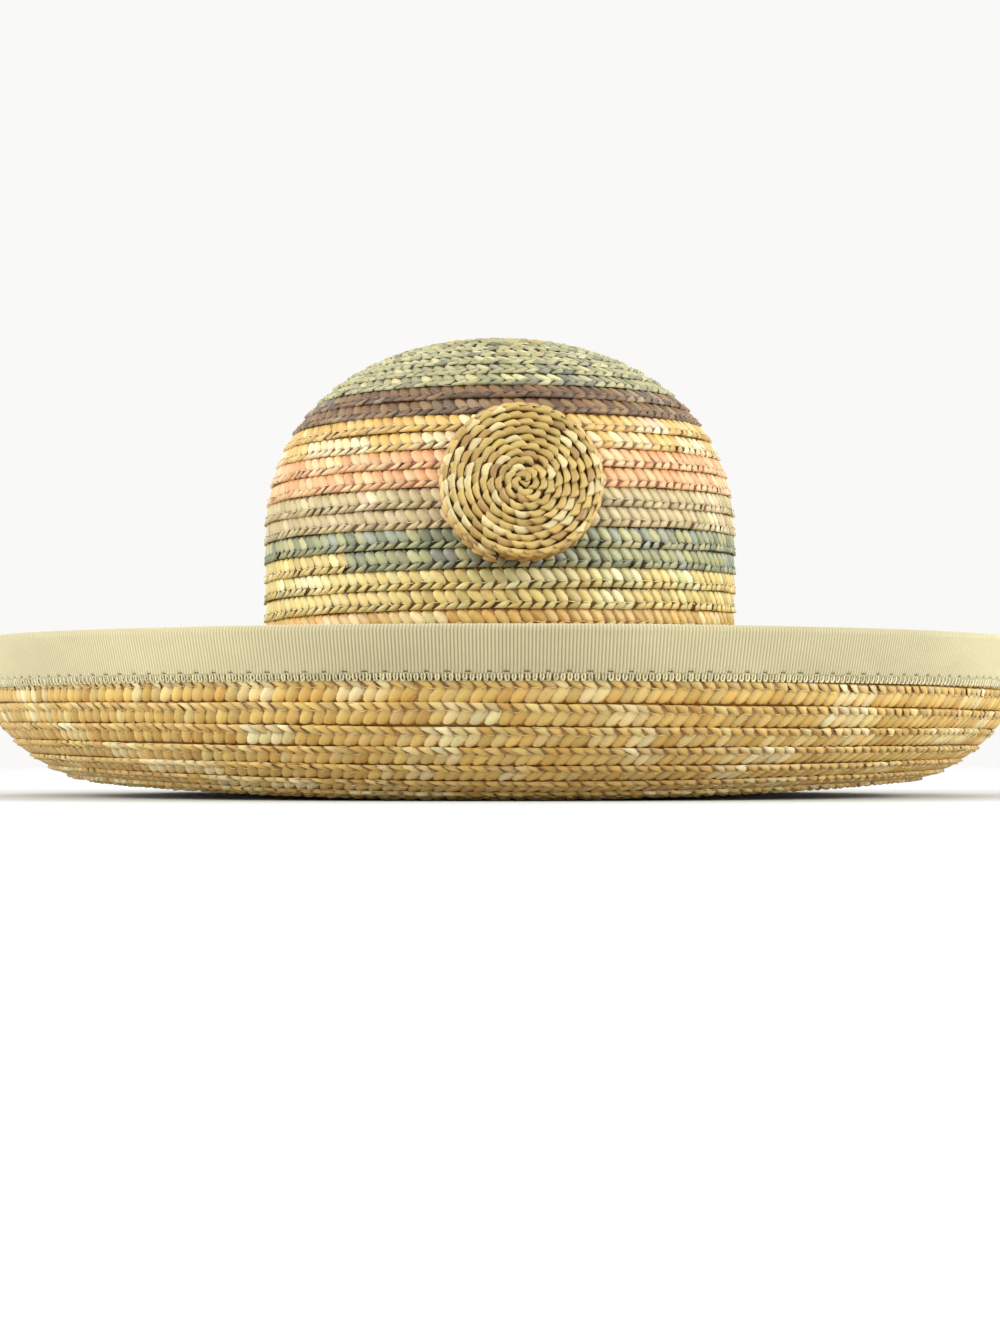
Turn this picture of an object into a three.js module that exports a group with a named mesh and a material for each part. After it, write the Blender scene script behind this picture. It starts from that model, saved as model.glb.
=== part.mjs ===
import * as THREE from "three";

// Wide brim straw hat in millimetres, +Z up, front towards -Y.
// The origin lies on the surface that the hat stands on, under the middle of the crown.
// The hat is one long braid of plaited straw, sewn round and round from the top of the crown.
// On the outside of the crown and under the brim, the outer edge of each round lies over the
// next one out, so both faces have a rib for each round.
// Several dyed lengths of the same braid make the stripes of the crown.

// Crown, measured along the middle of the straw
const CROWN_WIDTH = 166.5;
const CROWN_HEIGHT = 133;
const WALL_HEIGHT = 63;
const DOME_TOP_FULLNESS = 0.62;
const DOME_SHOULDER_FULLNESS = 0.6;

// How much longer than wide the whole hat is, front to back
const EXTRA_LENGTH = 23;

// Brim: it falls away from the crown, lies level for one round, then rolls up to the edge
const FALL_REACH = 54.7;
const FALL_DEPTH = 21;
const FALL_STRAIGHTNESS = 0.68;
const ROLL_REACH = 37;
const ROLL_HEIGHT = 33;
const ROLL_START_FULLNESS = 0.29;
const ROLL_END_REACH = 0.94;
const ROLL_END_HEIGHT = 0.42;

// The level round hangs lower at the front and back than at the sides by this much
const SADDLE = 5;

// Braid: thickness of one round, how far its edge stands over the next, width seen of a round
const BRAID_THICKNESS = 1.6;
const LAP = 0.8;
const BRIM_BRAID_WIDTH = 7.4;
const FALL_ROUNDS = 8;
const ROLL_ROUNDS = 7;

// Ribbon folded over the edge of the brim, and where the plain hem under it starts
const RIBBON_WIDTH = 16;
const RIBBON_THICKNESS = 0.9;
const RIBBON_CORNER = 1.2;
const HEM_START = 0.15;

// Rosette: a braid wound on its edge into a disc, sewn flat to the front of the crown
const ROSETTE_RADIUS = 28;
const ROSETTE_CORE = 1.6;
const ROSETTE_BRAID_WIDTH = 8;
const ROSETTE_BRAID_THICKNESS = 2.3;
const ROSETTE_HEIGHT = 98.5;
const ROSETTE_SIDE_ANGLE = 5;
const ROSETTE_LEAN = 12;

// Gaps that keep the pieces apart
const CLEARANCE = 0.3;
const SEAM_GAP = 0.4;

// Fineness: flat facets round the hat, and steps in one turn of the rosette
const FACETS = 32;
const ROSETTE_STEPS = 14;

// The lengths of braid in the crown, from the top down, with the rounds that each makes
const CROWN_LENGTHS = [
  { name: "crown_tip", rounds: 4, colour: 0xc9a468 },
  { name: "crown_olive", rounds: 6, colour: 0x8f8d6c },
  { name: "crown_mauve", rounds: 2, colour: 0x84695c },
  { name: "crown_gold", rounds: 2, colour: 0xdcbb7c },
  { name: "crown_coral", rounds: 2, colour: 0xe6aa7f },
  { name: "crown_taupe", rounds: 2, colour: 0xc6b294 },
  { name: "crown_sage", rounds: 2, colour: 0x82876c },
  { name: "crown_yellow", rounds: 2, colour: 0xd8bb74 },
  { name: "crown_base", rounds: 5, colour: 0xc9a468 },
];
const STRAW = { colour: 0xc8a261, roughness: 0.55 };
const RIBBON = { colour: 0xd2c8a4, roughness: 0.8 };
const ROSETTE_STRAW = { colour: 0xcaa868, roughness: 0.5 };

const CROWN_HALF = CROWN_WIDTH / 2;
const HALF_EXTRA = EXTRA_LENGTH / 2;
const PROUD = (BRAID_THICKNESS + LAP) / 2;
const SUNK = (BRAID_THICKNESS - LAP) / 2;
const MIDDLE = BRAID_THICKNESS / 2;
const STRAW_BOTTOM = PROUD;

// A section point is { r, z, dip }: half the width of its ring, its height at the sides,
// and how much lower the ring runs at the front and back.
function sectionPoint(r, z, dip = 0) {
  return { r, z, dip };
}

// Moves a section point along the braid by `along` and off its middle by `off`.
function offset(point, round, along, off) {
  const r = point.r + round.alongR * along + round.offR * off;
  const z = point.z + round.alongZ * along + round.offZ * off;
  return sectionPoint(r, z, point.dip);
}

// One round of braid between two neighbouring points of the middle line.
// `along` points down the section, away from the crown's top; `off` points to the outer face.
function roundBetween(from, to) {
  const length = Math.hypot(to.r - from.r, to.z - from.z);
  const alongR = (to.r - from.r) / length;
  const alongZ = (to.z - from.z) / length;
  return { from, to, alongR, alongZ, offR: -alongZ, offZ: alongR };
}

function roundsOf(points) {
  return points.slice(1).map((point, index) => roundBetween(points[index], point));
}

// The outer or upper face of a run of rounds, ribbed because one edge of each round stands
// over its neighbour while the other is sunk under the next lap.
function lappedFace(rounds, startOff, endOff) {
  return rounds.flatMap((round) => [
    offset(round.from, round, 0, startOff),
    offset(round.to, round, 0, endOff),
  ]);
}

// The ring that a section point makes: an oval inside the crown's width, and past that
// a line that keeps its distance from the crown.
function onRing(point, angle) {
  const stretch = HALF_EXTRA * Math.min(1, point.r / CROWN_HALF);
  const x = point.r * Math.cos(angle);
  const y = (point.r + stretch) * Math.sin(angle);
  const z = point.z - point.dip * Math.sin(angle) ** 2;
  return new THREE.Vector3(x, y, z);
}

function facetAngle(index) {
  return ((index + 0.5) * 2 * Math.PI) / FACETS;
}

function meshFromFaces(vertices, faces, finish, name) {
  const geometry = new THREE.BufferGeometry();
  const positions = vertices.flatMap((vertex) => [vertex.x, vertex.y, vertex.z]);
  geometry.setAttribute("position", new THREE.Float32BufferAttribute(positions, 3));
  geometry.setIndex(faces.flat());
  geometry.computeVertexNormals();
  const material = new THREE.MeshStandardMaterial({
    color: finish.colour,
    roughness: finish.roughness,
    metalness: 0,
    flatShading: true,
  });
  const mesh = new THREE.Mesh(geometry, material);
  mesh.name = name;
  return mesh;
}

// Two triangles between neighbouring corners of two neighbouring rings.
function quad(a, b, c, d) {
  return [
    [a, b, c],
    [a, c, d],
  ];
}

// Carries a section round the hat. A section that starts and ends on the axis is open and
// is closed by its two poles; any other section is a closed outline.
function ringSolid(section, finish, name) {
  const hasPoles = section[0].r === 0;
  const ringed = hasPoles ? section.slice(1, -1) : section;
  const vertices = [];
  for (const point of ringed) {
    for (let facet = 0; facet < FACETS; facet += 1) {
      vertices.push(onRing(point, facetAngle(facet)));
    }
  }
  const corner = (ring, facet) => ring * FACETS + (facet % FACETS);
  const faces = [];
  const joins = hasPoles ? ringed.length - 1 : ringed.length;
  for (let ring = 0; ring < joins; ring += 1) {
    const next = (ring + 1) % ringed.length;
    for (let facet = 0; facet < FACETS; facet += 1) {
      const across = [corner(ring, facet), corner(next, facet)];
      const beyond = [corner(next, facet + 1), corner(ring, facet + 1)];
      faces.push(...quad(...across, ...beyond));
    }
  }
  if (hasPoles) {
    const top = vertices.push(onRing(section[0], 0)) - 1;
    const bottom = vertices.push(onRing(section.at(-1), 0)) - 1;
    const lastRing = ringed.length - 1;
    for (let facet = 0; facet < FACETS; facet += 1) {
      faces.push([top, corner(0, facet), corner(0, facet + 1)]);
      faces.push([bottom, corner(lastRing, facet + 1), corner(lastRing, facet)]);
    }
  }
  return meshFromFaces(vertices, faces, finish, name);
}

// Middle line of the crown: a round dome that runs into an upright wall.
function crownLine() {
  const foot = STRAW_BOTTOM + FALL_DEPTH + PROUD + CLEARANCE;
  const top = foot + CROWN_HEIGHT;
  const shoulder = foot + WALL_HEIGHT;
  const domeRise = top - shoulder;
  const path = new THREE.CurvePath();
  path.add(
    new THREE.CubicBezierCurve(
      new THREE.Vector2(0, top),
      new THREE.Vector2(CROWN_HALF * DOME_TOP_FULLNESS, top),
      new THREE.Vector2(CROWN_HALF, shoulder + domeRise * DOME_SHOULDER_FULLNESS),
      new THREE.Vector2(CROWN_HALF, shoulder),
    ),
  );
  path.add(
    new THREE.LineCurve(
      new THREE.Vector2(CROWN_HALF, shoulder),
      new THREE.Vector2(CROWN_HALF, foot),
    ),
  );
  const count = CROWN_LENGTHS.reduce((sum, length) => sum + length.rounds, 0);
  return path.getSpacedPoints(count).map((point) => sectionPoint(point.x, point.y));
}

// One dyed length of the crown. The tip closes on the axis; every other length starts
// a seam's gap below the last one. The inside is smooth, with a point for every other round.
function crownLength(rounds, finish, name, isTip) {
  const outside = lappedFace(rounds, SUNK, PROUD);
  const first = rounds[0];
  const last = rounds.at(-1);
  const everyOther = rounds.filter((round, index) => index > 0 && index % 2 === 0);
  const inside = [offset(last.to, last, 0, -MIDDLE)];
  for (const round of everyOther.reverse()) {
    inside.push(offset(round.from, round, 0, -MIDDLE));
  }
  if (isTip) {
    outside[0] = sectionPoint(0, first.from.z + SUNK);
    inside.push(sectionPoint(0, first.from.z - MIDDLE));
  } else {
    outside[0] = offset(first.from, first, SEAM_GAP, SUNK);
    inside.push(offset(first.from, first, SEAM_GAP, -MIDDLE));
  }
  return ringSolid([...outside, ...inside], finish, name);
}

function crownLengths() {
  const rounds = roundsOf(crownLine());
  let start = 0;
  return CROWN_LENGTHS.map((length) => {
    const own = rounds.slice(start, start + length.rounds);
    start += length.rounds;
    const finish = { colour: length.colour, roughness: STRAW.roughness };
    return crownLength(own, finish, length.name, own[0] === rounds[0]);
  });
}

function easeInOut(share) {
  return share * share * (3 - 2 * share);
}

// Middle line of the brim, from under the crown to the foot of the ribbon.
function brimLine() {
  const level = STRAW_BOTTOM;
  const fallEnd = CROWN_HALF + FALL_REACH;
  const rollStart = fallEnd + BRIM_BRAID_WIDTH;
  const rollEnd = rollStart + ROLL_REACH;
  const fall = new THREE.QuadraticBezierCurve(
    new THREE.Vector2(CROWN_HALF, level + FALL_DEPTH),
    new THREE.Vector2(CROWN_HALF + FALL_REACH * FALL_STRAIGHTNESS, level),
    new THREE.Vector2(fallEnd, level),
  );
  const roll = new THREE.CubicBezierCurve(
    new THREE.Vector2(rollStart, level),
    new THREE.Vector2(rollStart + ROLL_REACH * ROLL_START_FULLNESS, level),
    new THREE.Vector2(rollStart + ROLL_REACH * ROLL_END_REACH, level + ROLL_HEIGHT * ROLL_END_HEIGHT),
    new THREE.Vector2(rollEnd, level + ROLL_HEIGHT),
  );
  const falling = fall.getSpacedPoints(FALL_ROUNDS).map((point, index) => {
    return sectionPoint(point.x, point.y, SADDLE * easeInOut(index / FALL_ROUNDS));
  });
  const rolling = roll.getSpacedPoints(ROLL_ROUNDS).map((point, index) => {
    return sectionPoint(point.x, point.y, SADDLE * (1 - easeInOut(index / ROLL_ROUNDS)));
  });
  return [...falling, ...rolling];
}

// The underside of the brim, from the edge inwards: each round ends proud and starts sunk
// under the one before. The level round that the hat stands on is flat and meets its
// inner neighbour at one edge.
function brimUnderside(rounds) {
  const points = [];
  for (let index = rounds.length - 1; index >= 0; index -= 1) {
    const round = rounds[index];
    if (index !== FALL_ROUNDS - 1) {
      points.push(offset(round.to, round, 0, -PROUD));
    }
    points.push(offset(round.from, round, 0, index === FALL_ROUNDS ? -PROUD : -SUNK));
  }
  return points;
}

// The plain hem of straw goes up inside the ribbon and stops short of the fold.
function brim(rounds) {
  const last = rounds.at(-1);
  const hemEnd = RIBBON_WIDTH - RIBBON_THICKNESS - CLEARANCE;
  const hem = [
    offset(last.to, last, HEM_START, MIDDLE),
    offset(last.to, last, hemEnd, MIDDLE),
    offset(last.to, last, hemEnd, -MIDDLE),
    offset(last.to, last, HEM_START, -MIDDLE),
  ];
  const upper = lappedFace(rounds, PROUD, SUNK);
  return ringSolid([...upper, ...hem, ...brimUnderside(rounds)], STRAW, "brim");
}

// The ribbon's section is a U turned over the hem, with rounded outer corners.
function brimBinding(rounds) {
  const last = rounds.at(-1);
  const inner = MIDDLE + CLEARANCE;
  const outer = inner + RIBBON_THICKNESS;
  const start = HEM_START + CLEARANCE;
  const corner = RIBBON_WIDTH - RIBBON_CORNER;
  const roof = RIBBON_WIDTH - RIBBON_THICKNESS;
  const outline = [
    [start, outer],
    [corner, outer],
    [RIBBON_WIDTH, outer - RIBBON_CORNER],
    [RIBBON_WIDTH, RIBBON_CORNER - outer],
    [corner, -outer],
    [start, -outer],
    [start, -inner],
    [roof, -inner],
    [roof, inner],
    [start, inner],
  ];
  const section = outline.map(([along, off]) => offset(last.to, last, along, off));
  return ringSolid(section, RIBBON, "brim_binding");
}

// The rosette's braid is carried along a spiral. Its edge stands along the disc's axis.
function rosetteCoil() {
  const pitch = ROSETTE_BRAID_THICKNESS + CLEARANCE;
  const half = ROSETTE_BRAID_THICKNESS / 2;
  const steps = Math.round(((ROSETTE_RADIUS - half - ROSETTE_CORE) / pitch) * ROSETTE_STEPS);
  const vertices = [];
  for (let step = 0; step <= steps; step += 1) {
    const angle = (step * 2 * Math.PI) / ROSETTE_STEPS;
    const middle = ROSETTE_CORE + (pitch * step) / ROSETTE_STEPS;
    const section = [
      [middle - half, 0],
      [middle - half, ROSETTE_BRAID_WIDTH],
      [middle + half, ROSETTE_BRAID_WIDTH],
      [middle + half, 0],
    ];
    for (const [radius, height] of section) {
      vertices.push(new THREE.Vector3(radius * Math.cos(angle), radius * Math.sin(angle), height));
    }
  }
  const faces = [...quad(0, 3, 2, 1)];
  for (let step = 0; step < steps; step += 1) {
    for (let side = 0; side < 4; side += 1) {
      const a = step * 4 + side;
      const b = step * 4 + ((side + 1) % 4);
      faces.push(...quad(a, b, b + 4, a + 4));
    }
  }
  const end = steps * 4;
  faces.push(...quad(end, end + 1, end + 2, end + 3));
  return meshFromFaces(vertices, faces, ROSETTE_STRAW, "rosette");
}

// The rosette leans back with the crown's front and stands clear of its foremost rib.
function rosette(crownMeshes) {
  const coil = rosetteCoil();
  const lean = THREE.MathUtils.degToRad(ROSETTE_LEAN);
  const side = THREE.MathUtils.degToRad(ROSETTE_SIDE_ANGLE);
  const axis = new THREE.Vector3(
    Math.sin(side) * Math.cos(lean),
    -Math.cos(side) * Math.cos(lean),
    Math.sin(lean),
  );
  let seat = 0;
  const vertex = new THREE.Vector3();
  for (const mesh of crownMeshes) {
    const position = mesh.geometry.getAttribute("position");
    for (let index = 0; index < position.count; index += 1) {
      seat = Math.max(seat, vertex.fromBufferAttribute(position, index).dot(axis));
    }
  }
  const onWall = onRing(sectionPoint(CROWN_HALF, ROSETTE_HEIGHT), side - Math.PI / 2);
  const travel = seat + CLEARANCE - onWall.dot(axis);
  coil.position.copy(onWall.addScaledVector(axis, travel));
  coil.quaternion.setFromUnitVectors(new THREE.Vector3(0, 0, 1), axis);
  return coil;
}

const hat = new THREE.Group();
const crown = crownLengths();
const brimRounds = roundsOf(brimLine());
hat.add(...crown);
hat.add(brim(brimRounds));
hat.add(brimBinding(brimRounds));
hat.add(rosette(crown));

// The hat stands on the level round's facets at the front and back, the lowest of the saddle.
hat.position.z = SADDLE * Math.cos(Math.PI / FACETS) ** 2;

export default hat;
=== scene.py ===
import bpy
import numpy as np
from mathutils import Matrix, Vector


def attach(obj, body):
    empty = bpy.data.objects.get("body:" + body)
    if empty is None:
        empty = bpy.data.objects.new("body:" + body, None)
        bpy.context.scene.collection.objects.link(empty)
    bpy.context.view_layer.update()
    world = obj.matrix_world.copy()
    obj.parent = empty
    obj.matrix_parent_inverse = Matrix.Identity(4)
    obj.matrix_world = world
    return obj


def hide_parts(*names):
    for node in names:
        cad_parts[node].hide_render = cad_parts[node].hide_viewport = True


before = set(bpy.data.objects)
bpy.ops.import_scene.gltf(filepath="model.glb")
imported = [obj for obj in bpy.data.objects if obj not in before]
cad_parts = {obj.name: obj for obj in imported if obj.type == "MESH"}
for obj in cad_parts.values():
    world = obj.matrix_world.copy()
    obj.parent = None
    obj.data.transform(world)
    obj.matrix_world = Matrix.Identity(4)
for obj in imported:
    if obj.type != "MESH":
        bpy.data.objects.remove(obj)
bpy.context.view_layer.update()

# Crown: several dyed lengths of plaited straw braid, sewn round and round from the middle of
# the top. Each round's lower edge lies over the next round out, so the outside has one rib for
# each round. The lengths below are in millimetres and the meshes in metres.

CROWN_HALF = 83.25  # half the width of the crown's wall
HALF_EXTRA = 11.5  # how much longer than wide half the crown is
CROWN_TOP = 156.7
CROWN_SHOULDER = 86.7  # where the dome goes over into the wall
CROWN_FOOT = 23.7
DOME_FULLNESS = (0.62, 0.6)  # how far the dome's two inner corners are pulled out and up
CROWN_ROUNDS = 27
LIFT = 5.2  # sets the whole hat up, so that the brim's lowest leaves touch the floor
LEAF_PITCH = 4.4  # from leaf to leaf along the braid
PLAIT_STRAWS = 7
JUNCTION = 2.35  # how far in from a row's edge its two kinds of leaves meet
LEAF_ROW = 6.93  # the width of row that a leaf's form is drawn for
LAP_TILT = 0.8  # how much prouder a row's outer edge stands than its inner one
HIDDEN_LAP = 0.9  # the part of a row's width that lies under the row before
SMALLEST_ROUND = 2.5  # the radius at which the braid starts
WANDER = ((0.16, 21, 0), (0.13, 47.3, 1), (0.09, 111, 0))  # size, rate and start of each wave
SLAB_HALF = 0.14  # half the thickness of the strip inside a braid, whose dark colour is painted shade
SLAB_INSETS = (0.12, 0.1)  # how far it stays in from the braid's outer and inner edges
STITCH_PITCH = 5.5
THREAD_HALF = 0.16
FRONT = -np.pi / 2

rng = np.random.default_rng(27)


def linear(colours):
    """sRGB colours from 0 to 255 as linear ones: (c + 0.055) / 1.055 to the power of 2.4."""
    share = np.asarray(colours, float) / 255
    return np.where(share < 0.04045, share / 12.92, ((share + 0.055) / 1.055) ** 2.4)


def bezier(corners, steps):
    """Points along a Bezier curve: each pair of neighbouring corners is blended by the share
    walked, over and over, until one point is left."""
    share = np.linspace(0, 1, steps)[:, None, None]
    points = np.asarray(corners, float)[None]
    while points.shape[1] > 1:
        points = points[:, :-1] * (1 - share) + points[:, 1:] * share
    return points[:, 0]


class Section:
    """The line that the middle of the straw follows down the hat, against the distance s along
    it: half width r, height z at the sides, and dip, the drop at the front and back."""

    def __init__(self, line, dip):
        steps = np.hypot(*np.diff(line, axis=0).T)
        keep = np.concatenate([[True], steps > 1e-6])
        line, self.dip = line[keep], dip[keep]
        self.r, self.z = line.T
        self.s = np.concatenate([[0], np.cumsum(np.hypot(*np.diff(line, axis=0).T))])
        self.along_r = np.gradient(self.r, self.s)
        self.along_z = np.gradient(self.z, self.s)

    def place(self, s, turn, off):
        """A point on the hat: the section's point at s, moved off along its normal and carried
        to that turn. The ring is a circle stretched front to back by up to HALF_EXTRA."""
        s = np.clip(s, 0, self.s[-1])
        r = np.interp(s, self.s, self.r) - np.interp(s, self.s, self.along_z) * off
        z = np.interp(s, self.s, self.z) + np.interp(s, self.s, self.along_r) * off
        angle = FRONT - 2 * np.pi * turn
        stretch = HALF_EXTRA * np.clip(r / CROWN_HALF, 0, 1)
        drop = np.interp(s, self.s, self.dip) * np.sin(angle) ** 2
        return np.stack([r * np.cos(angle), (r + stretch) * np.sin(angle), z - drop + LIFT], -1)


class Braid:
    """One long braid wound along a section. After each turn its outer edge is one pitch
    further: s = pitch x turn. `side` is 1 where its good side is the section's upper one."""

    def __init__(self, section, rounds, side):
        self.section, self.rounds, self.side = section, rounds, side
        self.pitch = section.s[-1] / rounds
        self.width = self.pitch + HIDDEN_LAP
        self.turns = np.linspace(0, rounds + 1, 4000)
        radii = self.radius(self.turns)
        steps = np.diff(self.turns) * 2 * np.pi * (radii[1:] + radii[:-1]) / 2
        self.length = np.concatenate([[0], np.cumsum(steps)])

    def radius(self, turn):
        """Mean radius of the round's middle: its half width and half the extra length."""
        s = np.clip(self.pitch * (turn - 0.5), 0, self.section.s[-1])
        r = np.interp(s, self.section.s, self.section.r)
        return np.maximum(r + HALF_EXTRA / 2 * np.clip(r / CROWN_HALF, 0, 1), SMALLEST_ROUND)

    def spots(self, pitch, start, end):
        """The turn and the number of every mark between two turns, with a mark at each `pitch`
        millimetres of braid."""
        first, last = np.interp([start, end], self.turns, self.length)
        marks = np.arange(np.ceil(first / pitch), np.ceil(last / pitch))
        return np.interp(marks * pitch, self.length, self.turns), marks

    def place(self, turn, u, v, height, face):
        """A point u to the right along the row, v in from its edge and `height` above the
        braid's middle. The braid is tilted, so its outer edge stands proud on the good side,
        and it wanders by a sum of three small sine waves."""
        here = turn - u / (2 * np.pi * self.radius(turn))
        v_outer = v if face > 0 else self.width - v
        tilt = LAP_TILT / 2 - LAP_TILT * v_outer / self.pitch
        off = self.side * (tilt + face * height)
        uneven = sum(size * np.sin(rate * here + begin) for size, rate, begin in WANDER)
        return self.section.place(self.pitch * here + uneven - v_outer, here, off)


class Pile:
    """Gathers the points and faces of one piece, with a colour, painted shade included, and a
    straw coordinate for each point, and makes them into one mesh."""

    def __init__(self):
        self.points, self.faces, self.colours, self.straws, self.count = [], [], [], [], 0

    def add(self, points, faces, colours, straws):
        """Adds points and the faces between them. The colours and straw coordinates may be one
        for each point or one for many."""
        size = points.reshape(-1, 3).shape[0]
        shape = points.shape[:-1] + (3,)
        self.points.append(points.reshape(-1, 3))
        self.colours.append(np.broadcast_to(colours, shape).reshape(-1, 3))
        self.straws.append(np.broadcast_to(straws, shape).reshape(-1, 3))
        self.faces.append(faces.reshape(-1, faces.shape[-1]) + self.count)
        self.count += size

    def make(self, name, material, slot, *nodes):
        """Makes the piece's one mesh, in metres, with its looks, in place of its CAD nodes."""
        points = np.concatenate(self.points) * 0.001
        corners = np.concatenate([part.ravel() for part in self.faces])
        sides = np.concatenate([np.full(len(part), part.shape[1]) for part in self.faces])
        starts = np.concatenate([[0], np.cumsum(sides)[:-1]])
        mesh = bpy.data.meshes.new(name)
        mesh.vertices.add(len(points))
        mesh.vertices.foreach_set("co", points.astype(np.float32).ravel())
        mesh.loops.add(len(corners))
        mesh.loops.foreach_set("vertex_index", corners.astype(np.int32))
        mesh.polygons.add(len(starts))
        mesh.polygons.foreach_set("loop_start", starts.astype(np.int32))
        mesh.update(calc_edges=True)
        mesh.polygons.foreach_set("use_smooth", np.ones(len(starts), bool))
        # Each point's colour, with the painted shade of creases, under-strips, straw tips and rib
        # grooves multiplied in.
        colour_and_shade = mesh.attributes.new("colour_and_shade", "FLOAT_COLOR", "POINT")
        colours = np.concatenate(self.colours)
        opaque = np.ones((len(colours), 1))
        colour_and_shade.data.foreach_set("color", np.hstack([colours, opaque]).astype(np.float32).ravel())
        straw = mesh.attributes.new("straw", "FLOAT_VECTOR", "POINT")
        straw.data.foreach_set("vector", np.concatenate(self.straws).astype(np.float32).ravel())
        mesh.materials.append(material)
        piece = bpy.data.objects.new(name, mesh)
        bpy.context.scene.collection.objects.link(piece)
        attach(piece, "root")
        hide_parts(*nodes)
        return piece


def grid_faces(count, rows, columns, flip):
    """Quads of `count` separate grids, each of rows x columns points."""
    start = np.arange(rows - 1)[:, None] * columns + np.arange(columns - 1)
    quad = np.stack([start, start + 1, start + columns + 1, start + columns], -1).reshape(-1, 4)
    if flip:
        quad = quad[:, ::-1]
    return quad[None] + (np.arange(count) * rows * columns)[:, None, None]


def tube_faces(count, rows, columns, flip):
    """Quads of `count` separate tubes, each of `rows` rings with `columns` points."""
    start = np.arange(rows - 1)[:, None] * columns
    here, beyond = np.arange(columns), (np.arange(columns) + 1) % columns
    corners = [start + here, start + beyond, start + columns + beyond, start + columns + here]
    quad = np.stack(corners, -1).reshape(-1, 4)
    if flip:
        quad = quad[:, ::-1]
    return quad[None] + (np.arange(count) * rows * columns)[:, None, None]


def strand_colours(count, shift, palette, pale):
    """Colours of one row of leaves. Seven straws take turns, and each is spliced to a new one
    after five of its turns; `pale` marks the leaves that a light splice covers."""
    strand = (np.arange(count) + shift) % PLAIT_STRAWS
    splice = (np.arange(count) // PLAIT_STRAWS + strand * 3) // 5
    pick = rng.random((PLAIT_STRAWS, splice.max() + 1))[strand, splice]
    shares = np.cumsum([share for share, colour in palette["straws"]])
    chosen = np.searchsorted(shares / shares[-1], pick)
    colours = linear([colour for share, colour in palette["straws"]])[chosen]
    light_straws = linear(palette["splices"])
    light = light_straws[rng.integers(0, len(light_straws), count)]
    amount = np.where(pale, rng.uniform(0.2, 0.95, count), 0)[:, None]
    colours = colours * (1 - amount) + light * amount
    return colours * rng.uniform(0.84, 1.1, (count, 1)) * rng.uniform(0.97, 1.03, (count, 3))


def splices(count, rate):
    """Marks short runs of up to four leaves, `rate` of them for each leaf."""
    first = rng.random(count) < rate
    marked = first.copy()
    for step in (1, 2, 3):
        marked[step:] |= first[:-step] & (rng.random(count - step) < 0.8)
    return marked


def lay_leaves(pile, braid, turns, face, colours, form, marks, loose):
    """Lays one plump leaf of straw at each turn. A leaf's form gives, over a grid of shares
    across (-1 to 1) and along (0 to 1), how far it lies along the row, in and above. `loose` is
    how far, in millimetres, a leaf strays along the row. Its colour is darkened towards both long
    edges and towards the end that is tucked in, as painted shade in the creases where leaves
    overlap."""
    across, along, reach, into, height = form
    count = len(turns)
    size = (count, 1, 1)
    wide = rng.uniform(0.92, 1.06, size)
    lean = rng.normal(0, 0.34, size)
    between_ends = along * (1 - along) > 0
    u = reach[None] * wide + rng.normal(0, loose, size) + lean * (along - 0.4)
    v = into[None] * (braid.pitch / LEAF_ROW) + rng.normal(0, 0.5 * loose, size) * between_ends
    lift = height[None] * rng.uniform(0.88, 1.1, size) + across * rng.normal(0, 0.8 * loose, size)
    points = braid.place(turns[:, None, None], u, v, lift, face)
    # Painted shade: darker towards both long edges, most on the edge that dips under the next
    # leaf, and at the tucked-in end.
    crease_shade = 1 - (0.36 + 0.12 * across) * np.abs(across) ** 4 - 0.24 * np.exp(-((along / 0.16) ** 2))
    shade = colours[:, None, None, :] * crease_shade[None, :, :, None]
    straw = np.broadcast_arrays(across * 2.0, along * 5.0, 7.3 * marks[:, None, None])
    outward_bound = into[-1].mean() < into[0].mean()
    flip = (braid.side > 0) == outward_bound
    pile.add(points, grid_faces(count, *across.shape, flip), shade, np.stack(straw, -1))


def lozenge(columns, rows):
    """The long plump leaf: a drop that leans back by 43 degrees from the junction, 5 mm in and
    4.7 mm back, widest and highest past its middle, with a blunt point as its free tip. One
    long edge lies over the next leaf."""
    across, along = np.meshgrid(columns, rows)
    taper = np.where(along > 0.5, 2.1, 3.2)
    outline = np.clip(1 - np.abs(2 * along - 1) ** taper, 0.05, 1) ** 0.5
    half = 2.45 * outline * (0.82 + 0.24 * along)
    reach = 0.9 - 4.7 * along + across * half * 0.82
    into = 1.9 + 5.0 * along + across * half * 0.56 * (1 - 0.4 * along)
    swell = np.clip(1 - across**2, 0, 1) ** 0.62 * np.clip(1 - (2 * along - 1) ** 6, 0, 1) ** 0.5
    height = -0.02 + (0.36 + 0.5 * along) * swell - 0.26 * across * swell**0.5
    return across, along, reach, into, height


def band_leaf(columns, rows):
    """The short wide leaf between the junction and the braid's edge. It runs 2.75 mm out and
    leans back by 2.9 mm, and its straw folds down over the straight edge."""
    across, along = np.meshgrid(columns, rows)
    half = 2.25 * np.clip(0.35 + 1.3 * along, 0, 1)
    fold = np.clip((along - 0.9) / 0.1, 0, 1)
    reach = 0.45 - 2.9 * along + across * half
    into = 2.75 * (1 - np.clip(along / 0.97, 0, 1))
    flat = np.clip(1 - np.abs(across) ** 2.4, 0, 1) ** 0.6
    height = 0.1 + flat * (0.34 + 0.3 * along) + 0.22 * along**4
    height = height * (1 - fold) - 0.34 * fold
    return across, along, reach, into, height


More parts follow.
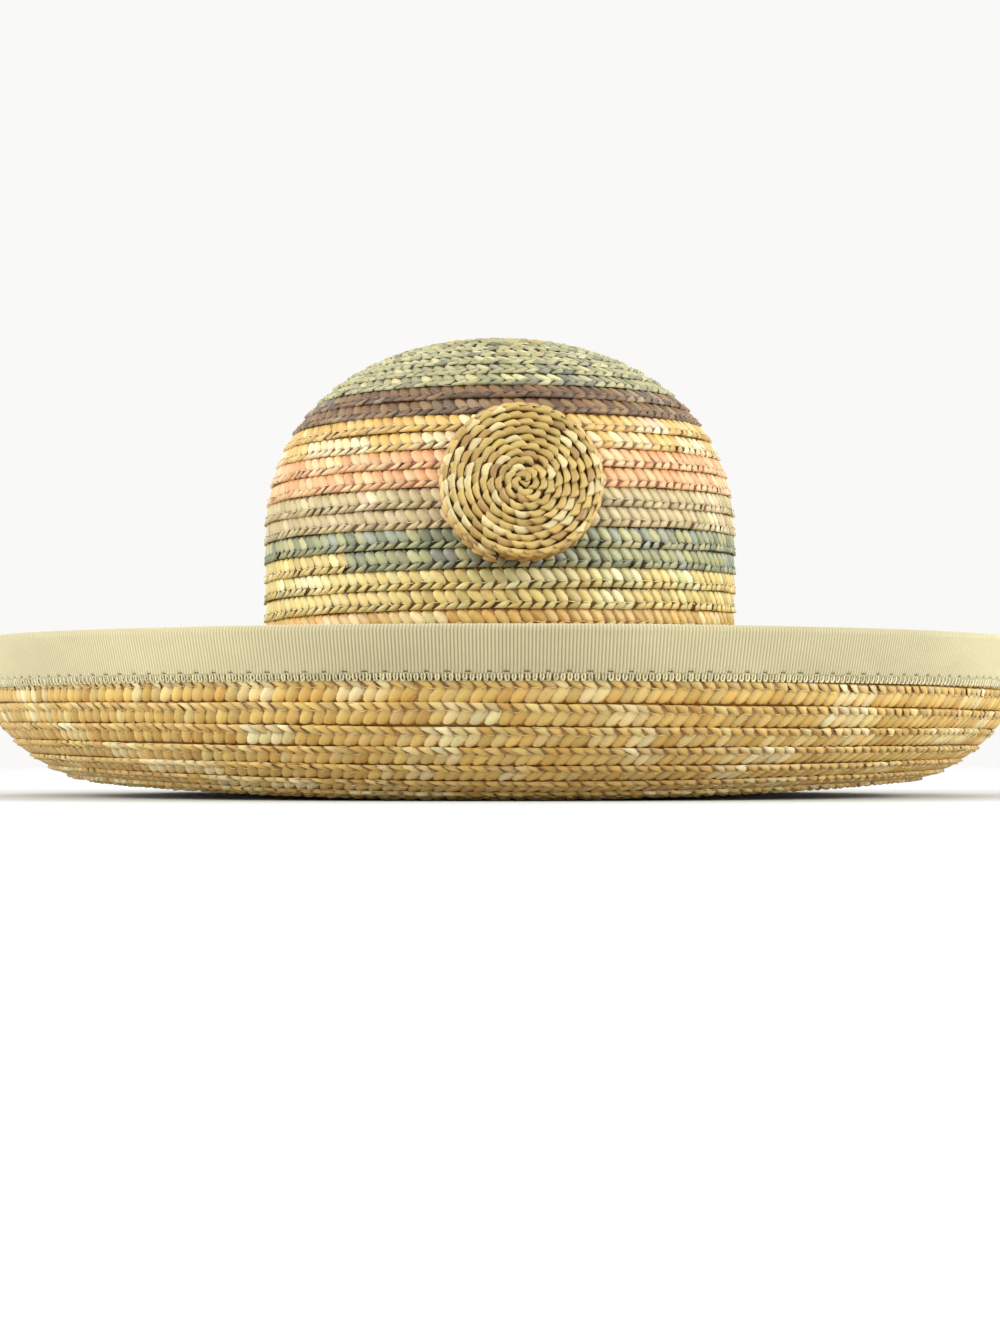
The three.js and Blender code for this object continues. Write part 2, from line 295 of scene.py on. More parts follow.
# Leaves on the braid's good side have more points than those on its other side.
FINE_ACROSS = (-1, -0.62, 0, 0.62, 1)
PLAIN_ACROSS = (-1, -0.78, 0, 0.78, 1)
FINE_LOZENGE = lozenge(FINE_ACROSS, (0, 0.1, 0.34, 0.66, 0.9, 1))
FINE_BAND = band_leaf(FINE_ACROSS, (0, 0.3, 0.9, 1))
PLAIN_LOZENGE = lozenge(PLAIN_ACROSS, (0, 0.16, 0.88, 1))
PLAIN_BAND = band_leaf(PLAIN_ACROSS, (0, 0.88, 1))


def lay_slab(pile, braid, start, end, colour):
    """The inner layers of the plait, as one closed strip under the leaves. Its dark colour is
    painted shade, for straw that lies in shadow there.
    """
    turns = braid.spots(LEAF_PITCH, start, end)[0]
    turns = np.concatenate([[start], turns[turns > start], [end]])
    outer, inner = SLAB_INSETS[0], braid.width - SLAB_INSETS[1]
    v = np.array([outer, inner, inner, outer])
    height = np.array([1, 1, -1, -1]) * SLAB_HALF
    points = braid.place(turns[:, None], np.zeros(4), v, height, 1)
    rings = len(turns)
    flip = braid.side < 0
    straw = np.stack(np.broadcast_arrays(v, turns[:, None] * 60, 0.5), -1)
    pile.add(points, tube_faces(1, rings, 4, flip), linear(colour), straw)
    ends = np.array([[3, 2, 1, 0], [0, 1, 2, 3]]) + np.array([[0], [(rings - 1) * 4]])
    if flip:
        ends = ends[:, ::-1]
    pile.faces.append(ends + pile.count - rings * 4)


def lay_tips(pile, braid, turns, colour):
    """Ends of the straws underneath, seen between the tips of the lozenges and coloured darker as
    painted shade, for straw that lies in shadow there: a triangle with a 4 mm side 5 mm in and its
    point 2.4 mm further."""
    u = np.array([-2.9, 1.1, -1.5]) + rng.normal(0, 0.12, (len(turns), 3))
    v = np.array([5.0, 5.0, 7.4]) + rng.normal(0, 0.12, (len(turns), 3))
    points = braid.place(turns[:, None], u, v, np.array([0.22, 0.22, 0.24]), 1)
    corners = np.array([0, 1, 2]) if braid.side > 0 else np.array([2, 1, 0])
    faces = corners + np.arange(len(turns))[:, None] * 3
    shade = linear(colour) * rng.uniform(0.7, 1.15, (len(turns), 1, 1))
    pile.add(points, faces, shade, np.stack(np.broadcast_arrays(u, v, 2.2), -1))


def lay_stitches(pile, braid, start, end, colour):
    """Sewing thread that comes up, runs along the junction and goes down again, 2.5 mm on. It
    is a tube of three sides round four points."""
    turns = braid.spots(STITCH_PITCH, start, end)[0]
    u = np.array([-1.25, -0.6, 0.6, 1.25])[:, None]
    height = np.array([0.35, 0.84, 0.84, 0.35])[:, None]
    ring = np.array([0, 2, 4]) * np.pi / 3
    size = (len(turns), 1, 1)
    skew = rng.normal(0, 0.22, size)
    v = JUNCTION + rng.normal(0, 0.15, size) + np.cos(ring) * THREAD_HALF + skew * u
    lift = height + np.sin(ring) * THREAD_HALF
    points = braid.place(turns[:, None, None], u, v, lift, 1)
    flip = braid.side < 0
    shade = linear(colour) * rng.uniform(0.75, 1.1, (*size, 1))
    pile.add(points, tube_faces(len(turns), len(u), len(ring), flip), shade, np.zeros(3))


def sew_rows(braid, start, end, palette):
    """A run of rows between two turns: slab, leaves on both faces, straw tips and stitches."""
    pile = Pile()
    lay_slab(pile, braid, start, end, palette["under"])
    turns, marks = braid.spots(LEAF_PITCH, start, end)
    pale = splices(len(turns), palette["splice_rate"])
    bands = strand_colours(len(turns), 3, palette, pale) * 0.94
    lozenges = strand_colours(len(turns), 0, palette, pale)
    lay_leaves(pile, braid, turns, 1, bands, FINE_BAND, marks, 0.27)
    lay_leaves(pile, braid, turns, 1, lozenges, FINE_LOZENGE, marks + 0.5, 0.12)
    lay_tips(pile, braid, turns, palette["shaded_tips"])
    lay_stitches(pile, braid, start, end, palette["thread"])
    inner_bands = strand_colours(len(turns), 5, palette, pale) * 0.94
    inner = strand_colours(len(turns), 2, palette, pale)
    lay_leaves(pile, braid, turns, -1, inner_bands, PLAIN_BAND, marks + 0.2, 0.2)
    lay_leaves(pile, braid, turns, -1, inner, PLAIN_LOZENGE, marks + 0.7, 0.12)
    return pile


class Value:
    """An output of a shader's node. Each arithmetic sign between two of them, or between one
    and a plain number, adds a Math node."""

    def __init__(self, shader, socket):
        self.shader, self.socket = shader, socket

    def math(self, operation, first, second):
        """A new Math node's result."""
        return self.shader.node("ShaderNodeMath", {"operation": operation}, 0, _0=first, _1=second)

    def __add__(self, other):
        return self.math("ADD", self, other)

    def __radd__(self, other):
        return self.math("ADD", other, self)

    def __sub__(self, other):
        return self.math("SUBTRACT", self, other)

    def __rsub__(self, other):
        return self.math("SUBTRACT", other, self)

    def __mul__(self, other):
        return self.math("MULTIPLY", self, other)

    def __rmul__(self, other):
        return self.math("MULTIPLY", other, self)

    def over(self, limit):
        """1 where the number is over the limit, and 0 elsewhere."""
        return self.math("GREATER_THAN", self, limit)


class Shader:
    """A new material with one Principled shader."""

    def __init__(self, name, **constants):
        self.material = bpy.data.materials.new(name)
        self.material.use_nodes = True
        self.tree = self.material.node_tree
        self.surface = self.tree.nodes["Principled BSDF"]
        for socket, value in constants.items():
            self.surface.inputs[socket.replace("_", " ")].default_value = value

    def feed(self, slot, item):
        """Links a socket, or sets a plain number, vector or colour."""
        if isinstance(item, Value):
            self.tree.links.new(item.socket, slot)
        else:
            slot.default_value = item

    def node(self, kind, settings, output, **sockets):
        """Adds one node, sets its settings, then its sockets, each by its name or by _ and its
        number, and gives one of its outputs."""
        node = self.tree.nodes.new(kind)
        for key, value in settings.items():
            setattr(node, key, value)
        for key, value in sockets.items():
            self.feed(node.inputs[int(key[1:]) if key[1:].isdigit() else key], value)
        return Value(self, node.outputs[output])

    def attribute(self, name, output):
        """What each point of the piece carries under that name."""
        return self.node("ShaderNodeAttribute", {"attribute_name": name}, output)

    def noise(self, vector, scale, detail):
        """Noise over a vector that is first stretched by a scale for each of its parts."""
        multiply = {"operation": "MULTIPLY"}
        stretched = self.node("ShaderNodeVectorMath", multiply, 0, _0=vector, _1=scale)
        return self.node("ShaderNodeTexNoise", {}, 0, Vector=stretched, Scale=1.0, Detail=detail)

    def blend(self, kind, factor, first, second):
        """Mixes two colours."""
        settings = {"data_type": "RGBA", "blend_type": kind}
        return self.node("ShaderNodeMix", settings, 2, _0=factor, _6=first, _7=second)

    def grey(self, value):
        """A number as a colour of three like parts."""
        return self.node("ShaderNodeCombineColor", {}, 0, Red=value, Green=value, Blue=value)

    def finish(self, colour, roughness, height, distance):
        """Feeds the shader. The bump is `distance` metres deep where the height goes 0 to 1."""
        bump = self.node("ShaderNodeBump", {}, 0, Strength=1.0, Distance=distance, Height=height)
        self.feed(self.surface.inputs["Base Color"], colour)
        self.feed(self.surface.inputs["Roughness"], roughness)
        self.feed(self.surface.inputs["Normal"], bump)
        return self.material


def straw_material(name, streak_depth):
    """Straw: the colour that each point carries, painted shade included, times a tone, which adds
    up broad streaks and fine fibres that run along each leaf, less a few brown flecks. The streaks
    and flecks also dull its shine."""
    shader = Shader(name, Coat_Weight=0.12, Coat_Roughness=0.35, Specular_IOR_Level=0.5)
    colour_and_shade = shader.attribute("colour_and_shade", "Color")
    straw = shader.attribute("straw", "Vector")
    streak = shader.noise(straw, (1.6, 0.22, 1.0), 3.0)
    fibre = shader.noise(straw, (8.0, 0.5, 1.0), 2.0)
    fleck = shader.noise(straw, (1.1, 1.1, 3.1), 2.0).over(0.67)
    tone = (1 - streak_depth) + 2 * streak_depth * streak + 0.14 * (fibre - 0.5) - 0.16 * fleck
    colour = shader.blend("MULTIPLY", 1.0, colour_and_shade, shader.grey(tone))
    roughness = 0.36 + 0.3 * streak + 0.08 * fleck
    return shader.finish(colour, roughness, 0.6 * fibre + 0.4 * streak, 0.00009)


# In each palette the under colour, for the strip beneath the leaves, and the tips colour, for the
# straw ends between the lozenges, are painted shade: darker browns for straw that lies in shadow.
STRAW_PALETTE = {
    "straws": [
        (5, (204, 164, 83)),
        (3, (211, 173, 93)),
        (3, (195, 151, 70)),
        (2, (205, 170, 98)),
        (1, (218, 188, 116)),
    ],
    "splices": [(228, 208, 150), (234, 218, 166), (220, 194, 130)],
    "splice_rate": 0.07,
    "under": (150, 102, 42),
    "shaded_tips": (190, 136, 62),
    "thread": (214, 190, 132),
}

TIP_PALETTE = {
    "straws": [(4, (166, 160, 112)), (3, (148, 144, 104)), (2, (204, 172, 104))],
    "splices": [(214, 200, 148), (196, 188, 142)],
    "splice_rate": 0.1,
    "under": (62, 54, 34),
    "shaded_tips": (120, 104, 62),
    "thread": (196, 188, 142),
}

dome = bezier(
    [
        (0, CROWN_TOP),
        (CROWN_HALF * DOME_FULLNESS[0], CROWN_TOP),
        (CROWN_HALF, CROWN_SHOULDER + (CROWN_TOP - CROWN_SHOULDER) * DOME_FULLNESS[1]),
        (CROWN_HALF, CROWN_SHOULDER),
    ],
    400,
)
wall = bezier([(CROWN_HALF, CROWN_SHOULDER), (CROWN_HALF, CROWN_FOOT)], 200)
crown_line = np.concatenate([dome, wall])
crown = Braid(Section(crown_line, np.zeros(len(crown_line))), CROWN_ROUNDS, 1)

natural_straw = straw_material("natural_straw", 0.16)
TIP_END = 4.5
crown_tip = sew_rows(crown, 0, TIP_END, TIP_PALETTE)
crown_tip.make("crown_tip_rows", natural_straw, "straw_natural", "crown_tip")

# Dyed stripes of the crown: the same braid, from straw dyed olive for six rows, then mauve
# brown, pale gold, coral, taupe, sage and yellow for about two rows each. One length is spliced
# to the next at the back of the hat, and only sage goes over into yellow at the front.

SAGE_END = 20.108
YELLOW_END = 22.5
# Each length's under colour is painted shade: the dark brown of its straw where it lies in shadow
# under the leaves.
DYED_LENGTHS = [
    {
        "name": "crown_olive",
        "slot": "straw_olive",
        "turns": (TIP_END, 10.5),
        "straws": [(4, (180, 171, 122)), (3, (152, 147, 106)), (2, (196, 184, 132))],
        "splices": [(196, 188, 142), (112, 112, 96)],
        "under": (44, 42, 30),
    },
    {
        "name": "crown_mauve",
        "slot": "straw_mauve",
        "turns": (10.5, 12.5),
        "straws": [(4, (129, 94, 59)), (3, (105, 76, 48)), (2, (149, 116, 76))],
        "splices": [(174, 150, 112), (108, 94, 76)],
        "under": (60, 42, 28),
    },
    {
        "name": "crown_gold",
        "slot": "straw_gold",
        "turns": (12.5, 14.5),
        "straws": [(4, (220, 180, 103)), (3, (210, 168, 91)), (2, (225, 193, 123))],
        "splices": [(240, 228, 184), (238, 206, 168)],
        "under": (112, 72, 32),
    },
    {
        "name": "crown_coral",
        "slot": "straw_coral",
        "turns": (14.5, 16.5),
        "straws": [(4, (227, 174, 120)), (3, (220, 161, 108)), (2, (230, 187, 134))],
        "splices": [(238, 206, 158), (232, 192, 140)],
        "under": (142, 84, 46),
    },
    {
        "name": "crown_taupe",
        "slot": "straw_taupe",
        "turns": (16.5, 18.5),
        "straws": [(4, (193, 174, 122)), (3, (184, 161, 114)), (2, (204, 180, 132))],
        "splices": [(226, 208, 164), (220, 188, 150)],
        "under": (112, 84, 54),
    },
    {
        "name": "crown_sage",
        "slot": "straw_sage",
        "turns": (18.5, SAGE_END),
        "straws": [(4, (156, 154, 107)), (3, (131, 133, 97)), (2, (178, 172, 118))],
        "splices": [(150, 154, 136), (188, 178, 122)],
        "under": (48, 46, 30),
    },
    {
        "name": "crown_yellow",
        "slot": "straw_gold",
        "turns": (SAGE_END, YELLOW_END),
        "straws": [(4, (218, 192, 116)), (3, (206, 180, 104)), (2, (222, 204, 136))],
        "splices": [(232, 222, 170), (196, 190, 130)],
        "under": (104, 76, 34),
    },
]

dyed_straws = {}
for dyed in DYED_LENGTHS:
    slot = dyed["slot"]
    if slot not in dyed_straws:
        dyed_straws[slot] = straw_material(slot.replace("straw_", "dyed_straw_"), 0.2)
    # Painted shade: the under colour is straw in shadow, and the straw tips between the lozenges
    # get a colour halfway between it and the straw.
    under = np.array(dyed["under"])
    shaded_tips = under * 0.5 + np.array(dyed["straws"][1][1]) * 0.5
    palette = dict(dyed, splice_rate=0.09, shaded_tips=shaded_tips, thread=dyed["splices"][0])
    rows = sew_rows(crown, *dyed["turns"], palette)
    rows.make(dyed["name"] + "_rows", dyed_straws[slot], slot, dyed["name"])

# Foot of the crown: five more rows of the natural braid, down to the brim. They are sewn as
# the rest, and the last one runs out to nothing where the brim begins.

crown_base = sew_rows(crown, YELLOW_END, CROWN_ROUNDS + 1, STRAW_PALETTE)
crown_base.make("crown_base_rows", natural_straw, "straw_natural", "crown_base")

# Brim: seventeen rows of the natural braid and a hem under the ribbon, in three runs. It falls
# away from the crown, lies level for one row and rolls up, and at the front and back it dips.
# Underneath, the outer edge of each row lies over the next, and one thread sews them all.

FALL_ROUNDS = 8
ROLL_ROUNDS = 7
BRIM_START = CROWN_FOOT - 1.5
BRIM_FLOOR = 1.2  # the height of the level row's middle, before LIFT and SADDLE
LEVEL_START = 137.95
LEVEL_END = 145.35
BRIM_EDGE = (182.35, 34.2)
SADDLE = 5  # how much lower the level row lies at the front and back
ROW_SHIFT = 1.3  # brings the next row's edge out from under the ribbon
UNDER_RIBBON = 7.35


def ease(share):
    """Starts and ends level: 3 times the share squared, less twice its cube."""
    return share * share * (3 - 2 * share)


def even_shares(points):
    """How far along a line each of its points is, from 0 to 1."""
    walked = np.concatenate([[0], np.cumsum(np.hypot(*np.diff(points, axis=0).T))])
    return walked / walked[-1]


fall_corners = [(CROWN_HALF, BRIM_START), (120.446, BRIM_FLOOR), (LEVEL_START, BRIM_FLOOR)]
roll_corners = [(LEVEL_END, BRIM_FLOOR), (156.08, BRIM_FLOOR), (180.13, 15.06), BRIM_EDGE]
fall = bezier(fall_corners, 300)
roll = bezier(roll_corners, 300)
walked = even_shares(roll)
before_last = np.array([np.interp(1 - 1 / ROLL_ROUNDS, walked, part) for part in roll.T])
hem_along = (roll[-1] - before_last) / np.hypot(*(roll[-1] - before_last))
hem_steps = np.linspace(0.3, UNDER_RIBBON - ROW_SHIFT, 40)[:, None]
under_ribbon = roll[-1] + hem_along * hem_steps
brim_line = np.concatenate([fall[:1] + (0, ROW_SHIFT), fall, roll, under_ribbon])
brim_drops = [[0], ease(even_shares(fall)), 1 - ease(walked), np.zeros(len(under_ribbon))]
brim_section = Section(brim_line, SADDLE * np.concatenate(brim_drops))
brim = Braid(brim_section, FALL_ROUNDS + 2 + ROLL_ROUNDS, -1)

BRIM_RUNS = [
    ("brim_inner_rows", 0, 7),
    ("brim_level_rows", 7, 12),
    ("brim_rolled_rows", 12, 17.6),
]
for name, start, end in BRIM_RUNS:
    rows = sew_rows(brim, start, end, STRAW_PALETTE)
    rows.make(name, natural_straw, "straw_natural", "brim")

# Binding: one ivory grosgrain ribbon with a looped edge, folded over the hem of the brim and
# sewn through with small dark stitches. Its ribs run across the edge, a little slanted.

RIBBON_WIDTH = 16
BRIM_ROUND = 1180  # once round the brim's edge
RIB_COUNT = 1026
RIB_COLUMNS = 3
RIB_DEPTH = 0.26
RIB_SLANT = 0.08  # in ribs for each millimetre of width
PUCKER = 0.16
DASH_PITCH = 6.6
DASH_HALF = 0.85
DASH_IN = 1.45  # how far a stitch lies from the looped edge
DASH_DEPTH = 0.35
HEM_BACK = 4
hem_line = roll[-1] + hem_along * np.array([[-HEM_BACK], [0], [RIBBON_WIDTH + 2]])
hem = Section(hem_line, np.zeros(3))

turns = np.linspace(0, 1, RIB_COUNT * RIB_COLUMNS, endpoint=False)
outside = np.array(
    [
        (0.5, 1.6),
        (1.1, 1.94),
        (1.32, 2.0),
        (1.58, 2.0),
        (1.8, 2.0),
        (2.7, 2.0),
        (RIBBON_WIDTH - 1.6, 2.0),
        (RIBBON_WIDTH - 0.4, 1.6),
        (RIBBON_WIDTH, 0.8),
        (RIBBON_WIDTH + 0.08, 0),
    ]
)
mirrored = outside[-2::-1] * (1, -1)
lining_end = RIBBON_WIDTH - 0.9
lining = np.array([(0.5, -1.1), (lining_end, -1.05), (lining_end, 1.05), (0.5, 1.1)])
profile = np.concatenate([outside, mirrored, lining])
shown = np.arange(len(profile)) < len(profile) - len(lining)
along, off = profile.T
around = turns[:, None] * BRIM_ROUND
phase = 2 * np.pi * (turns[:, None] * RIB_COUNT + RIB_SLANT * along)
ribs = RIB_DEPTH * 0.5 * (np.cos(phase) - 1)
waves = np.sin(around / 9.3 + np.sin(around / 31) * 2)
puckers = PUCKER * waves * np.clip(1 - along / 14, 0, 1)
on_stitch = np.abs(around % DASH_PITCH - DASH_PITCH / 2) < DASH_HALF
dash = on_stitch & (np.abs(along - DASH_IN) < 0.2)
relief = np.where(shown, ribs + puckers - DASH_DEPTH * dash, 0)
hem_points = hem.place(HEM_BACK + along, turns[:, None], off + np.sign(off) * relief)
mottle = (np.sin(around / 23) + np.sin(around / 61 + 2)) * 0.5
# Painted shade and own tone: the colour is darker in the grooves between the ribs and lighter on
# their tops, and broad mottles vary the cloth's tone.
groove_shade_and_mottle = 0.8 + 0.27 * np.cos(phase) - 0.09 * mottle
ribbon_shade = linear((199, 185, 143)) * np.where(dash, 0.26, groove_shade_and_mottle)[..., None]
ribbon_straw = np.stack(np.broadcast_arrays(around, along, off), -1)
rings = len(turns)
ring_faces = tube_faces(1, rings + 1, len(profile), True) % (rings * len(profile))
binding = Pile()
binding.add(hem_points, ring_faces, ribbon_shade, ribbon_straw)

# The loops of its edge, on the outside and the inside of the fold. Each is a thread of three
# sides round a path that goes out from the cloth and back into it.
LOOP_COUNT = 536
LOOP_THREAD = 0.46
LOOP_OFF = 1.5  # from the middle of the fold
loop_out = np.array([(-0.45, 0.9), (-0.6, -0.4), (-0.4, -1.4)])
loop_path = np.concatenate([loop_out, loop_out[::-1] * (-1, 1)])
loop_tangent = np.gradient(loop_path, axis=0)
loop_tangent /= np.hypot(*loop_tangent.T)[:, None]
loop_side = np.stack([-loop_tangent[:, 1], loop_tangent[:, 0]], -1)
ring = np.arange(3) * 2 * np.pi / 3
loop_turns = (np.arange(LOOP_COUNT) / LOOP_COUNT)[:, None, None]
for face in (1, -1):
    wobble = rng.normal(0, 0.06, (LOOP_COUNT, len(loop_path), 1))
    spread = loop_path[:, :1] + loop_side[:, :1] * LOOP_THREAD * np.cos(ring) + wobble
    inward = loop_path[:, 1:] + loop_side[:, 1:] * LOOP_THREAD * np.cos(ring) + wobble
    outward = face * (LOOP_OFF + 0.4 * np.sin(ring) + wobble)
    points = hem.place(HEM_BACK + inward, loop_turns + spread / BRIM_ROUND, outward)
    shade = linear((210, 199, 157)) * rng.uniform(0.85, 1.1, (LOOP_COUNT, 1, 1, 1))
    faces = tube_faces(LOOP_COUNT, len(loop_path), len(ring), face < 0)
    binding.add(points, faces, shade, np.zeros(3))

cloth = Shader("grosgrain", Specular_IOR_Level=0.35, Sheen_Weight=0.15, Sheen_Roughness=0.4)
thread = cloth.attribute("straw", "Vector")
twist = cloth.noise(thread, (0.8, 6.0, 1.0), 2.0)
stain = cloth.noise(thread, (0.05, 0.12, 1.0), 3.0)
cloth_tone = cloth.grey(0.84 + 0.12 * twist + 0.2 * stain)
cloth_colour = cloth.blend("MULTIPLY", 1.0, cloth.attribute("colour_and_shade", "Color"), cloth_tone)
grosgrain = cloth.finish(cloth_colour, 0.62 + 0.2 * twist, twist, 0.00008)
binding.make("binding_ribbon", grosgrain, "ribbon", "brim_binding")

# Rosette: a natural braid wound on its edge into a disc of ten turns and sewn flat to the
# front of the crown. Its face shows the folded straws of the braid's edge, its rim the plait.

ROSETTE_CORE = 1.6  # the spiral's radius where it starts
ROSETTE_RADIUS = 28
ROSETTE_PITCH = 2.6
ROSETTE_BRAID = 1.15  # half the braid's thickness
ROSETTE_WIDTH = 8
ROSETTE_HEIGHT = 98.5
LEAF_STEP = 5.0
LEAF_LENGTH = 6.3

# It faces forwards, 5 degrees to one side and 12 degrees up, and its back lies in the plane of
# the CAD rosette's back.
side_angle = np.radians(5)
lean = np.radians(12)
towards_front = np.array([np.sin(side_angle), -np.cos(side_angle)]) * np.cos(lean)
axis = Vector((*towards_front, np.sin(lean)))
turned = np.array(Vector((0, 0, 1)).rotation_difference(axis).to_matrix())
coil_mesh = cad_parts["rosette"].data
coil_points = np.empty(len(coil_mesh.vertices) * 3)
coil_mesh.vertices.foreach_get("co", coil_points)
seat = (coil_points.reshape(-1, 3) @ np.array(axis)).min() * 1000
wall_side = CROWN_HALF * np.sin(side_angle)
wall_front = -(CROWN_HALF + HALF_EXTRA) * np.cos(side_angle)
on_wall = np.array([wall_side, wall_front, ROSETTE_HEIGHT + LIFT])
coil_origin = on_wall + np.array(axis) * (seat - on_wall @ np.array(axis))
coil_turns = (ROSETTE_RADIUS - ROSETTE_BRAID - ROSETTE_CORE) / ROSETTE_PITCH
coil_steps = np.linspace(-0.5, coil_turns, 2000)
coil_radius = ROSETTE_CORE + ROSETTE_PITCH * coil_steps
step_lengths = np.diff(coil_steps) * 2 * np.pi * (coil_radius[1:] + coil_radius[:-1]) / 2
coil_length = np.concatenate([[0], np.cumsum(step_lengths)])


def coil_place(walked, out, height):
    """A point beside the coil's spiral: `walked` along it, `out` from its middle and `height`
    above its back. The spiral's radius grows by one pitch with each turn, and the braid's last
    16 mm sink towards the crown, by up to three tenths of the height."""
    turn = np.interp(walked, coil_length, coil_steps)
    sunk = np.clip((walked - coil_length[-1] + 16) / 16, 0, 1)
    height = height * (1 - 0.3 * sunk * sunk)
    radius = ROSETTE_CORE + ROSETTE_PITCH * turn + out
    angle = 2 * np.pi * turn
    local = np.broadcast_arrays(radius * np.cos(angle), radius * np.sin(angle), height)
    return np.stack(local, -1) @ turned.T + coil_origin


# Its core is a closed strip, coloured dark brown as painted shade for the inner straws in shadow
# between the leaves.
rosette = Pile()
CORE_RINGS = 480
steps = np.linspace(0, coil_length[-1], CORE_RINGS)
corner_out = np.array([-1.1, -1.1, 1.1, 1.1])
corner_height = np.array([0.05, 6.5, 6.5, 0.05])
core = coil_place(steps[:, None], corner_out, corner_height)
core_straw = np.stack(np.broadcast_arrays(corner_out, steps[:, None], 0.3), -1)
rosette.add(core, tube_faces(1, CORE_RINGS, 4, False), linear((92, 60, 24)), core_straw)
first_ring = np.arange(4)
rosette.faces.append(np.stack([first_ring[::-1], first_ring + (CORE_RINGS - 1) * 4]))

# Its face has one folded straw at each step: blunt and wide where it comes up, narrow where the
# next one covers it, skewed out across the spiral, and with both ends bent in towards its middle.
marks = np.arange(1.5, coil_length[-1] - 1, LEAF_STEP)
count = len(marks)
leaf_columns = (-1, -0.86, -0.45, 0, 0.45, 0.86, 1)
leaf_rows = (0, 0.06, 0.3, 0.6, 0.86, 0.97, 1)
across, lengthwise = np.meshgrid(leaf_columns, leaf_rows)
size = (count, 1, 1)
outline = np.clip(1 - np.abs(2 * lengthwise - 1) ** 8, 0.3, 1) ** 0.5
half = 1.42 * outline * (0.58 + 0.46 * lengthwise)
walked = (0.5 - lengthwise) * LEAF_LENGTH + across * (0.35 + 0.55 * lengthwise)
bulge = np.clip(1 - np.abs(across) ** 3.2, 0, 1) ** 0.55
end_fold = np.clip((lengthwise - 0.97) / 0.03, 0, 1)
leaf_radius = np.interp(marks, coil_length, coil_radius)[:, None, None]
bend = np.minimum(walked**2 / (2 * np.maximum(leaf_radius, 5)), 0.8)
place = marks[:, None, None] + walked + rng.normal(0, 0.3, size)
unruly = 0.13 + 0.4 * np.exp(-leaf_radius / 4)
out = across * half * rng.uniform(0.86, 1.06, size) + rng.normal(0, 1, size) * unruly
out = out - bend + 0.1 + rng.normal(0.95, 0.25, size) * (lengthwise - 0.5)
rise = rng.uniform(0.8, 1.25, size) * (0.3 + 1.1 * lengthwise)
top = 6.75 + bulge * rise * (1 - end_fold) - 0.2 * across * bulge
strands = rng.choice(4, count, p=(0.45, 0.25, 0.18, 0.12))
hues = linear([(196, 166, 94), (183, 149, 79), (218, 197, 140), (171, 133, 76)])
shade = hues[strands][:, None, None, :] * rng.uniform(0.82, 1.08, (count, 1, 1, 1))
edge_shade = 1 - 0.34 * np.abs(across) ** 6 - 0.25 * np.exp(-((lengthwise / 0.14) ** 2))
leaf_straw = np.broadcast_arrays(across * 1.4, lengthwise * 6, 5.1 * marks[:, None, None])
points = coil_place(place, out, top)
faces = grid_faces(count, *across.shape, True)
rosette.add(points, faces, shade * edge_shade[..., None], np.stack(leaf_straw, -1))

# Its rim, the last turn's outside, shows both kinds of leaves of the braid.
RIM_RADIUS = 26
rim_marks = np.arange(coil_length[-1] - 2 * np.pi * RIM_RADIUS, coil_length[-1], LEAF_PITCH)
for form, lift, flip in ((FINE_BAND, 1.02, False), (FINE_LOZENGE, 1.0, True)):
    across, lengthwise, reach, into, height = form
    size = (len(rim_marks), 1, 1)
    place = np.clip(rim_marks[:, None, None] + reach * 0.95, 0, coil_length[-1] + 2)
    depth = 7.7 - into * 1.05 + rng.normal(0, 0.06, size)
    points = coil_place(place, lift + height, np.clip(depth, 0.1, ROSETTE_WIDTH))
    shade = linear((202, 166, 98)) * rng.uniform(0.8, 1.12, (*size, 1))
    # Painted shade: each leaf is darker towards its long edges, where it meets the next.
    shade = shade * (1 - 0.3 * np.abs(across) ** 4)[..., None]
    parts = np.broadcast_arrays(across * 2, lengthwise * 5, 3.7 * rim_marks[:, None, None])
    faces = grid_faces(len(rim_marks), *across.shape, flip)
    rosette.add(points, faces, shade, np.stack(parts, -1))
rosette_straw = straw_material("rosette_straw", 0.18)
rosette.make("rosette_coil", rosette_straw, "straw_rosette", "rosette")

# Studio, in metres: a round pale floor, a large soft light in front and above, one on each
# side, one behind and an even surround.

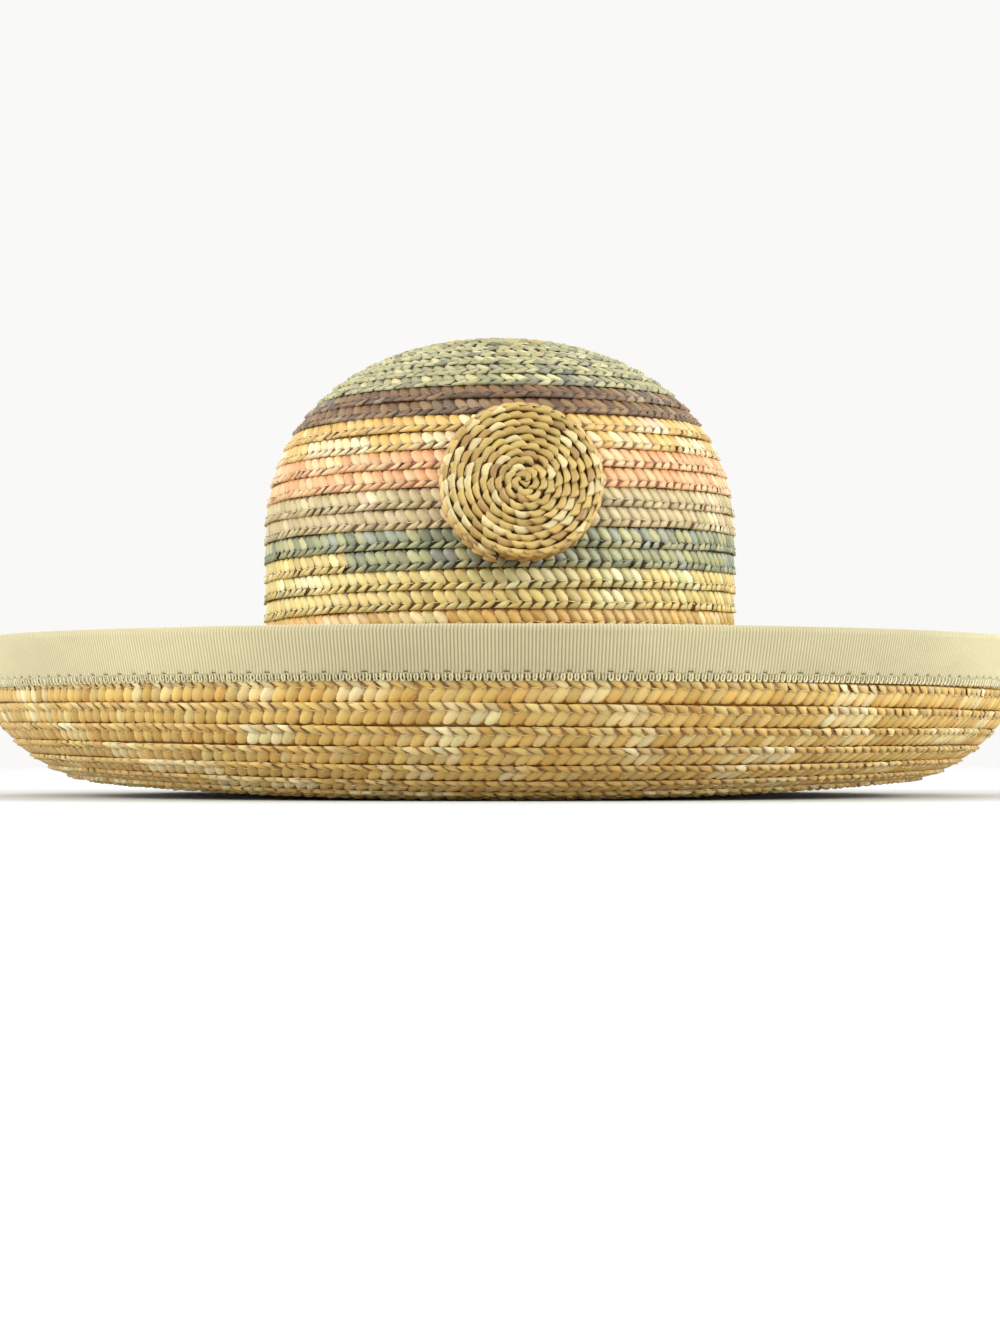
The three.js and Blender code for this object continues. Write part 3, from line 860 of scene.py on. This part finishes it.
FLOOR_RADIUS = 2.6
FLOOR_CORNERS = 96
floor_mesh = bpy.data.meshes.new("floor")
corner_angle = np.arange(FLOOR_CORNERS) * 2 * np.pi / FLOOR_CORNERS
floor_ring = FLOOR_RADIUS * np.stack([np.cos(corner_angle), np.sin(corner_angle)], -1)
floor_corners = np.hstack([floor_ring, np.zeros((FLOOR_CORNERS, 1))])
floor_mesh.from_pydata(floor_corners.tolist(), [], [list(range(FLOOR_CORNERS))])
floor = bpy.data.objects.new("floor", floor_mesh)
bpy.context.scene.collection.objects.link(floor)
paper = Shader("pale_paper", Roughness=0.9)
paper.surface.inputs["Base Color"].default_value = (0.64, 0.64, 0.635, 1)
floor_mesh.materials.append(paper.material)

world = bpy.data.worlds.new("surround")
bpy.context.scene.world = world
world.use_nodes = True
world.node_tree.nodes["Background"].inputs["Color"].default_value = (1, 0.995, 0.985, 1)
world.node_tree.nodes["Background"].inputs["Strength"].default_value = 0.95

HAT_MIDDLE = Vector((0, 0, 0.08))
LIGHTS = [
    ("key_light", (-0.8, -3.4, 3.0), 2.6, 30, (1, 1, 1)),
    ("left_light", (-3.4, -1.0, 1.2), 2.0, 122, (0.86, 0.95, 1)),
    ("right_light", (3.4, -1.0, 1.2), 2.0, 138, (0.86, 0.95, 1)),
    ("back_light", (0.4, 3.0, 3.4), 2.4, 40, (1, 1, 1)),
]
for name, place, width, power, tint in LIGHTS:
    lamp = bpy.data.lights.new(name, "AREA")
    lamp.energy = power
    lamp.size = width
    lamp.color = tint
    light = bpy.data.objects.new(name, lamp)
    light.location = place
    aim = HAT_MIDDLE - Vector(place)
    light.rotation_euler = aim.to_track_quat("-Z", "Y").to_euler()
    bpy.context.scene.collection.objects.link(light)

# Camera: straight in front of the hat, just above the floor, and looking up a little.

CAMERA_DISTANCE = 1.379
CAMERA_HEIGHT = 0.016
CAMERA_PITCH = 1.25
bpy.context.scene.view_settings.view_transform = "Standard"
photo_camera = bpy.data.cameras.new("photo_camera")
photo_camera.lens = 104
photo_camera.sensor_width = 36
photo_camera.clip_start = 0.01
camera = bpy.data.objects.new("photo_camera", photo_camera)
camera.location = (0, -CAMERA_DISTANCE, CAMERA_HEIGHT)
camera.rotation_euler = (np.radians(90 + CAMERA_PITCH), 0, 0)
bpy.context.scene.collection.objects.link(camera)
bpy.context.scene.camera = camera
